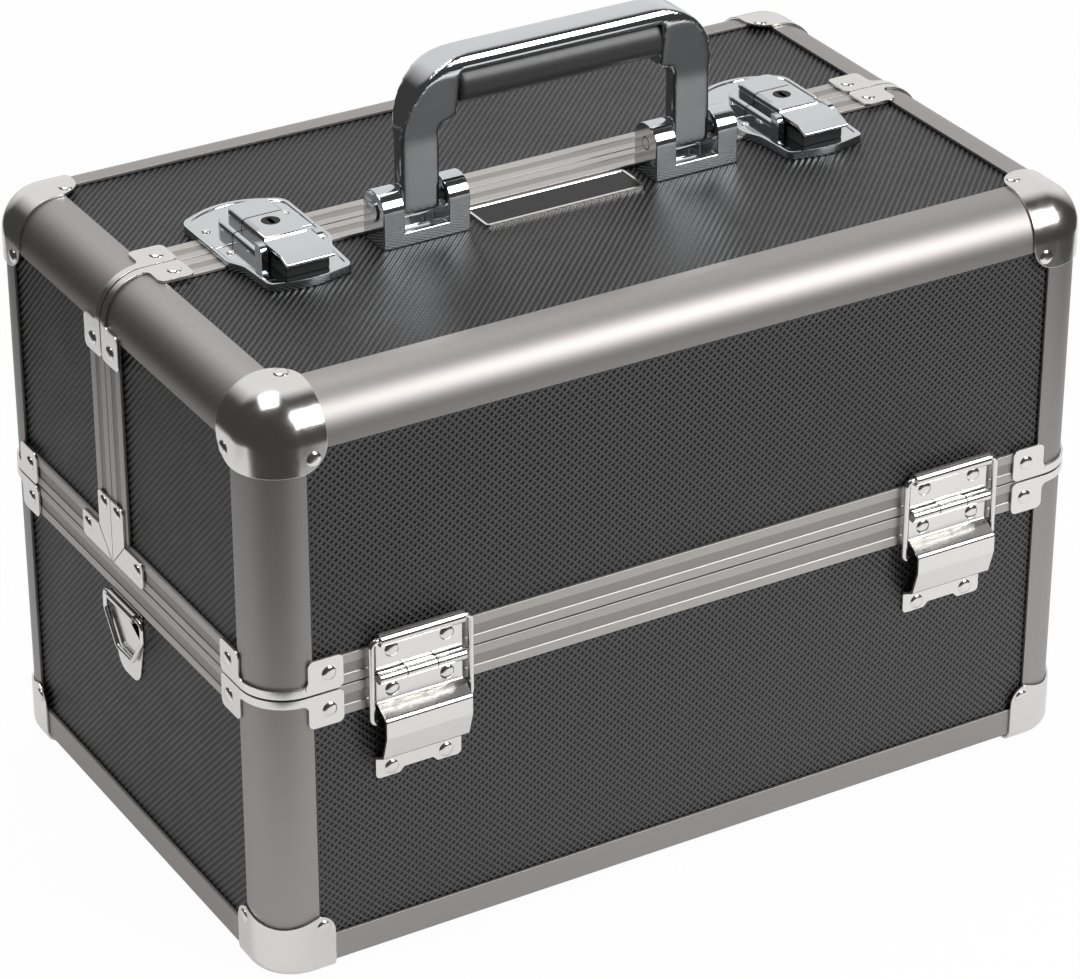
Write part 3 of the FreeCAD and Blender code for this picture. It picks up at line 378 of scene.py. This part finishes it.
# lining: a deep black that shows no highlight
flock = moulded("black flock lining", "#141415", 0.85, grain_mm=0.7, depth_mm=0.12)
print("finishes so far:", len(bpy.data.materials))

# %% [markdown]
# Each CAD node has its finish by what it is on the case, told by the words in its name. The first words that
# fit are taken, so the narrower ones stand before the wider ones. What none of them fits is pressed sheet.

# %% Choose a finish for every node
FINISH_BY_WORDS = {
    "top_panel": (laminate_top, "black_laminate"),
    "floor_panel": (laminate_top, "black_laminate"),
    "end_panels": (laminate_end, "black_laminate"),
    "front_panel": (laminate_face, "black_laminate"),
    "rear_panel": (laminate_face, "black_laminate"),
    "face_panel": (laminate_face, "black_laminate"),
    "rim_rails": (rim_aluminium, "gunmetal_aluminium"),
    "rails": (aluminium, "gunmetal_aluminium"),
    "posts": (aluminium, "gunmetal_aluminium"),
    "extrusions": (aluminium, "gunmetal_aluminium"),
    "handle_grip": (grip_plastic, "grip_plastic"),
    "handle": (cast_chrome, "bright_plate"),
    "latch": (cast_chrome, "bright_plate"),
    "lock": (black_brass, "bright_plate"),
    "arms": (zinc_plate, "arm_steel"),
    "tray": (tray_plastic, "tray_plastic"),
    "feet": (foot_rubber, "foot_rubber"),
}


def finish_of(name):
    for words, pair in FINISH_BY_WORDS.items():
        if words in name:
            return pair
    return pressed_nickel, "bright_plate"


slots = [finish_of(name)[1] for name in nodes]
print("nodes in each slot:", {slot: slots.count(slot) for slot in sorted(set(slots))})

# %% [markdown]
# Much is placed from a few sizes of the case: half its width and depth, the heights of its lowest rail, of
# the split between base and wings and of the top, and the seam between the two wings. They are read from the
# frame, so that the looks follow the solids.

# %% Sizes of the case
base_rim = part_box("base_rim_rails")
front_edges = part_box("front_wing_edge_extrusions")
rear_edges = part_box("rear_wing_edge_extrusions")
HALF_W = base_rim[1].x
HALF_D = base_rim[1].y
FLOOR_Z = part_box("base_bottom_rails")[0].z
SPLIT_Z = (base_rim[1].z + front_edges[0].z) / 2
TOP_Z = front_edges[1].z
SEAM_Y = (front_edges[1].y + rear_edges[0].y) / 2
print("split, top and seam in mm:", [round(size / MM, 1) for size in (SPLIT_Z, TOP_Z, SEAM_Y)])

# %% [markdown]
# No real edge is perfectly sharp: pressed sheet is tumbled, castings are polished and extrusions are drawn,
# and the small round edge is what catches a line of light. A node's mesh is copied, its loose triangles are
# merged, flat faces are joined, and the hard edges that remain get a small bevel. The boards keep their
# edges, which lie inside the rails. On the latch housings only the rim of the plate is rounded, because their
# stepped tops have faces too small for it.

# %% Soften the edges
HARD_EDGE = math.radians(32)
FLAT_ENOUGH = math.radians(0.5)
MERGE_NEAR = 0.002 * MM
LATCH_RIM_TOP = TOP_Z + 2.3 * MM
PLATE_BEVEL = 0.25
BEVEL_SEGMENTS = 2
# bevels in mm; the handle's frame and grip are rounded in another way
BEVEL_BY_WORDS = {"panel": 0, "feet": 0.6, "tray": 0.4, "handle_grip": 0, "handle_frame": 0, "handle": 0.5,
                  "latch_bodies": 0.6, "latch_keepers": 0.6, "latch": 0.3}


def softened(name):
    width = next((size for words, size in BEVEL_BY_WORDS.items() if words in name), PLATE_BEVEL)
    bm = bmesh.new()
    bm.from_mesh(nodes[name].data)
    bmesh.ops.remove_doubles(bm, verts=bm.verts, dist=MERGE_NEAR)
    if not width:
        return bm
    bmesh.ops.dissolve_limit(bm, angle_limit=FLAT_ENOUGH, verts=bm.verts, edges=bm.edges)
    hard = [edge for edge in bm.edges if edge.is_manifold and edge.calc_face_angle() > HARD_EDGE]
    if name in ("latch_bodies", "latch_keepers"):
        hard = [edge for edge in hard
                if edge.is_convex and max(vert.co.z for vert in edge.verts) < LATCH_RIM_TOP]
    bmesh.ops.bevel(bm, geom=hard, offset=width * MM, offset_type="OFFSET", affect="EDGES",
                    segments=BEVEL_SEGMENTS, profile=0.5, material=-1, clamp_overlap=False)
    return bm


print("widest bevel in mm:", max(BEVEL_BY_WORDS.values()))

# %% [markdown]
# Four kinds of node need more than soft edges. The boards are lined with flock inside, and the grooves of the
# rim rails have their own finish, so the faces there take a second material. The grip fits the hand with a
# rounded section that narrows towards its lower and upper edges. The feet of the lower hinge leaves reach a
# little further down, so that their rivets come out from under the pocket.

# %% Linings, grooves, grip and hinge feet
MIDDLE = Vector((0, 0, TOP_Z / 2))
GROOVE_DEPTH = (0.2 * MM, 0.5 * MM)
GRIP_SWELL = 0.7
GRIP_CUTS = 6
HINGE_TOES_BELOW = 38.0 * MM
HINGE_TOES_LONGER = 3.5 * MM


def mark_lining(bm):
    for face in bm.faces:
        face.material_index = int(face.normal.dot(face.calc_center_median() - MIDDLE) < 0)


def mark_grooves(bm):
    for face in bm.faces:
        centre = face.calc_center_median()
        depth = min(HALF_W - abs(centre.x), HALF_D - abs(centre.y), TOP_Z - centre.z)
        face.material_index = int(GROOVE_DEPTH[0] < depth < GROOVE_DEPTH[1])


def swell_grip(bm):
    bmesh.ops.subdivide_edges(bm, edges=bm.edges[:], cuts=GRIP_CUTS, use_grid_fill=True)
    low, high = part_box("handle_grip")
    middle = (low + high) / 2
    for vert in bm.verts:
        reach = (vert.co.z - middle.z) / (high.z - middle.z)
        vert.co.y = middle.y + (vert.co.y - middle.y) * math.sqrt(1 - GRIP_SWELL * reach ** 2)


def lengthen_toes(bm):
    toes = [vert for vert in bm.verts if vert.co.z < SPLIT_Z - HINGE_TOES_BELOW]
    bmesh.ops.translate(bm, vec=(0, 0, -HINGE_TOES_LONGER), verts=toes)


print("the grip's edges have", round(math.sqrt(1 - GRIP_SWELL), 2), "of its full thickness")

# %% [markdown]
# Every piece is shown in the same way: its mesh gets its finishes and smooth shading up to the hard edges,
# and it rides on a body. The handle's frame and grip are polished all over.
# Polishing rounds a whole piece, so each is built up anew in fine cells and then smoothed.

# %% Show a piece
POLISHED = ("handle_frame_finished", "handle_grip_finished")
POLISH_CELL = 0.7 * MM
POLISH_SHARE = 0.5
POLISH_ROUNDS = 24


def show(bm, name, body, slot, *finishes):
    mesh = bpy.data.meshes.new(name)
    bm.to_mesh(mesh)
    bm.free()
    for material in finishes:
        mesh.materials.append(material)
    mesh.shade_smooth()
    mesh.set_sharp_from_angle(angle=HARD_EDGE)
    piece = bpy.data.objects.new(name, mesh)
    scene.collection.objects.link(piece)
    if name in POLISHED:
        piece.modifiers.new("fine cells", "REMESH").voxel_size = POLISH_CELL
        polish = piece.modifiers.new("polish", "SMOOTH")
        polish.factor = POLISH_SHARE
        polish.iterations = POLISH_ROUNDS
    else:
        piece.modifiers.new("even shading", "WEIGHTED_NORMAL").keep_sharp = True
    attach(piece, body)
    return piece


print("polished pieces:", *POLISHED)

# %% [markdown]
# Now every node is dressed. A finished copy stands for it, on the same body, and the node itself stays in the
# frame as it is.

# %% Dress every node
for name in sorted(nodes):
    material, slot = finish_of(name)
    finishes = [material]
    bm = softened(name)
    if "panel" in name:
        mark_lining(bm)
        finishes.append(flock)
    if "rim_rails" in name:
        mark_grooves(bm)
        finishes.append(groove_aluminium)
    if name == "handle_grip":
        swell_grip(bm)
    if name == "hinge_lower_leaves":
        lengthen_toes(bm)
    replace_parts(show(bm, name + "_finished", body_of[name], slot, *finishes), name)
print("dressed nodes:", len(nodes))

# %% [markdown]
# Rivets hold the plates: low domes about 6 mm across, set by a cupped tool. A dome is a solid of revolution,
# so its half outline is spun about its own axis straight onto the plate that it holds. Its foot is sunk a
# little into the plate, so that no gap shows.

# %% A rivet
RIVET_R = 2.9 * MM
RIVET_H = 0.85 * MM
RIVET_STEPS = 24
RIVET_MERGE = 0.005 * MM
# shares of the radius and of the height, from the sunk foot to the crown
RIVET_OUTLINE = [(0, -0.3), (1, -0.3), (1, 0.2), (0.92, 0.48), (0.78, 0.72), (0.58, 0.9), (0.32, 0.98),
                 (0, 1)]


def rivet(bm, place, outward, size):
    side = outward.orthogonal().normalized() * RIVET_R * size
    points = [bm.verts.new(place + side * out + outward * RIVET_H * up) for out, up in RIVET_OUTLINE]
    edges = [bm.edges.new(pair) for pair in zip(points, points[1:])]
    bmesh.ops.spin(bm, geom=points + edges, cent=place, axis=outward, angle=2 * math.pi, steps=RIVET_STEPS,
                   use_merge=True)


def rivets(name, body, spots):
    bm = bmesh.new()
    for place, outward, size in spots:
        rivet(bm, Vector(place), Vector(outward), size)
    bmesh.ops.remove_doubles(bm, verts=bm.verts, dist=RIVET_MERGE)
    bmesh.ops.recalc_face_normals(bm, faces=bm.faces)
    show(bm, name, body, "bright_plate", pressed_nickel)
    print(name, len(spots))


print("rivet across in mm:", round(2 * RIVET_R / MM, 1))

# %% [markdown]
# The case has the same corners on all four sides, so the rivets of the caps and brackets are counted inward
# from the edges of the case, once for each corner. Clips and tee brackets are counted from the seam. The base
# and the two wings each get their own rivets, because they move apart.

# %% Rivets of corners, clips and brackets
PLATE_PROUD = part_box("base_corner_brackets")[1].x - HALF_W
BRACKET_INSET = 26.0 * MM
BRACKET_FROM_SPLIT = 7.6 * MM
CAP_INSET = 22.5 * MM
BOTTOM_CAP_INSET = 21.0 * MM
BOTTOM_CAP_RISE = 17.0 * MM
CLIP_INSET = 26.5 * MM
CLIP_FROM_SEAM = 7.4 * MM
# distance from the seam and height over the split
TEE_LEG = (5.6 * MM, 23.3 * MM)
TEE_FOOT = (21.3 * MM, 6.6 * MM)
UP = (0, 0, 1)
CORNERS = [(x, y) for x in (-1, 1) for y in (-1, 1)]


def corner_pair(x, y, inset, z):
    return [((x * (HALF_W - inset), y * (HALF_D + PLATE_PROUD), z), (0, y, 0), 1),
            ((x * (HALF_W + PLATE_PROUD), y * (HALF_D - inset), z), (x, 0, 0), 1)]


spots = {"base": [], "front_wing": [], "rear_wing": []}
wing_at = {-1: spots["front_wing"], 1: spots["rear_wing"]}
for x, y in CORNERS:
    spots["base"] += corner_pair(x, y, BOTTOM_CAP_INSET, FLOOR_Z + BOTTOM_CAP_RISE)
    spots["base"] += corner_pair(x, y, BRACKET_INSET, SPLIT_Z - BRACKET_FROM_SPLIT)
    wing_at[y] += corner_pair(x, y, BRACKET_INSET, SPLIT_Z + BRACKET_FROM_SPLIT)
    wing_at[y] += corner_pair(x, y, CAP_INSET, TOP_Z - CAP_INSET)
    side = x * (HALF_W + PLATE_PROUD)
    top = TOP_Z + PLATE_PROUD
    clip_y = SEAM_Y + y * CLIP_FROM_SEAM
    wing_at[y].append(((x * (HALF_W - CAP_INSET), y * (HALF_D - CAP_INSET), top), UP, 1))
    wing_at[y].append(((x * (HALF_W - CLIP_INSET), clip_y, top), UP, 1))
    wing_at[y].append(((side, clip_y, TOP_Z - CLIP_INSET), (x, 0, 0), 1))
    wing_at[y] += [((side, SEAM_Y + y * out, SPLIT_Z + up), (x, 0, 0), 1) for out, up in (TEE_LEG, TEE_FOOT)]
print("rivets so far:", sum(len(places) for places in spots.values()))

# %% [markdown]
# A hinge has three pairs of rivets: in its upper leaf, in its lower leaf and in the foot under its pocket. A
# latch has smaller ones, a pair in front of the seam and a pair behind it. When all places are known, each
# body's rivets are made as one piece.

# %% Rivets of hinges and latches
HALF_LEAF = 18.0 * MM
HINGE_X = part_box("hinge_lower_leaves")[1].x - HALF_LEAF
HINGE_SPREAD = 11.4 * MM
LEAF_PROUD = 1.2 * MM
FOOT_PROUD = -0.35 * MM
UPPER_LEAF_RISE = 9.8 * MM
LOWER_LEAF_DROP = 6.8 * MM
HINGE_FOOT_DROP = 41.3 * MM
LATCH_X = sum(corner.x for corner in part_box("latch_lever_right")) / 2
LATCH_SPREAD = 16.6 * MM
LATCH_RIVET = 0.62
# in front of the seam and behind it
LATCH_FROM_SEAM = {-1: -6.0 * MM, 1: 14.5 * MM}
DISH_PROUD = 1.4 * MM

for x, y in CORNERS:
    leaf_y = y * (HALF_D + LEAF_PROUD)
    outward = (0, y, 0)
    for across in (x * HINGE_X - HINGE_SPREAD, x * HINGE_X + HINGE_SPREAD):
        wing_at[y].append(((across, leaf_y, SPLIT_Z + UPPER_LEAF_RISE), outward, 1))
        spots["base"].append(((across, leaf_y, SPLIT_Z - LOWER_LEAF_DROP), outward, 1))
        spots["base"].append(((across, y * (HALF_D + FOOT_PROUD), SPLIT_Z - HINGE_FOOT_DROP), outward, 1))
    for across in (x * LATCH_X - LATCH_SPREAD, x * LATCH_X + LATCH_SPREAD):
        wing_at[y].append(((across, SEAM_Y + LATCH_FROM_SEAM[y], TOP_Z + DISH_PROUD), UP, LATCH_RIVET))
for body, places in spots.items():
    rivets(body + "_rivets", body, places)

# %% [markdown]
# A bare plate lies on the top between the handle's brackets: a thin black enamelled sheet in a bright border.
# It is a block whose top face is inset twice, and the middle is lowered a little, so the border stands as a
# rim.

# %% Bare plate on the top
PLATE_SIZE = Vector((70.0, 17.0, 1.2)) * MM
PLATE_Y = -11.5 * MM
PLATE_CORNER = 1.5 * MM
CORNER_SEGMENTS = 3
PLATE_RIM = 1.0 * MM
PLATE_STEP = 0.2 * MM
PLATE_SINK = 0.3 * MM
ENAMEL_HAZE = 6 * MM
ENAMEL_GLOSS = (0.26, 0.4)


def black_enamel():
    # baked enamel: deep black with a soft gloss
    material, tree, shader = finish("baked black enamel", "#0a0a0b", ENAMEL_GLOSS[0], Specular_IOR_Level=0.25)
    place = add(tree, "TexCoord").outputs["Object"]
    haze = add(tree, "TexNoise", {"Vector": place, "Scale": 1 / ENAMEL_HAZE, "Detail": 3.0}).outputs["Fac"]
    gloss = add(tree, "MapRange", {"Value": haze, "To Min": ENAMEL_GLOSS[0], "To Max": ENAMEL_GLOSS[1]})
    tree.links.new(gloss.outputs[0], shader.inputs["Roughness"])
    return material


def bare_plate():
    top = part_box("front_wing_top_panel")[1].z
    bm = bmesh.new()
    bmesh.ops.create_cube(bm, size=1.0)
    bmesh.ops.scale(bm, vec=PLATE_SIZE, verts=bm.verts)
    bmesh.ops.translate(bm, vec=(0, PLATE_Y, top + PLATE_SIZE.z / 2), verts=bm.verts)
    upright = [edge for edge in bm.edges if abs(edge.verts[0].co.z - edge.verts[1].co.z) > PLATE_SIZE.z / 2]
    bmesh.ops.bevel(bm, geom=upright, offset=PLATE_CORNER, affect="EDGES", segments=CORNER_SEGMENTS,
                    profile=0.5, material=-1)
    upper = max(bm.faces, key=lambda face: face.calc_center_median().z)
    bmesh.ops.inset_region(bm, faces=[upper], thickness=PLATE_RIM)
    bmesh.ops.inset_region(bm, faces=[upper], thickness=PLATE_STEP, depth=-PLATE_SINK)
    upper.material_index = 1
    return bm


show(bare_plate(), "bare_top_plate", "front_wing", "bright_plate", pressed_nickel, black_enamel())
print("bare plate in mm:", [round(size / MM, 1) for size in PLATE_SIZE])

# %% [markdown]
# Under each latch lever lies a black block, put there as painted shade so that the gap below the lip looks
# dark. It is a moulded block with soft edges, set low enough for the lever and clear of the tongue that
# slides behind it.

# %% Black blocks of painted shade under the latch levers
SHADE_BLOCK_SIZE = Vector((18.4, 12.0, 4.8)) * MM
SHADE_BLOCK_FROM_SEAM = 29.5 * MM
SHADE_BLOCK_SUNK = 0.2 * MM
SHADE_BLOCK_BEVEL = 0.9 * MM

# painted shade: a black block that darkens the gap under each lever
shade_blocks = bmesh.new()
for x in (-LATCH_X, LATCH_X):
    shade_block = bmesh.ops.create_cube(shade_blocks, size=1.0)["verts"]
    bmesh.ops.scale(shade_blocks, vec=SHADE_BLOCK_SIZE, verts=shade_block)
    height = TOP_Z + DISH_PROUD + SHADE_BLOCK_SIZE.z / 2 - SHADE_BLOCK_SUNK
    bmesh.ops.translate(shade_blocks, vec=(x, SEAM_Y - SHADE_BLOCK_FROM_SEAM, height), verts=shade_block)
bmesh.ops.bevel(shade_blocks, geom=shade_blocks.edges[:], offset=SHADE_BLOCK_BEVEL, affect="EDGES", segments=CORNER_SEGMENTS,
                profile=0.5, material=-1)
show(shade_blocks, "latch_shade_blocks", "front_wing", "foot_rubber", foot_rubber)
print("pads of", [round(size / MM, 1) for size in SHADE_BLOCK_SIZE], "mm")
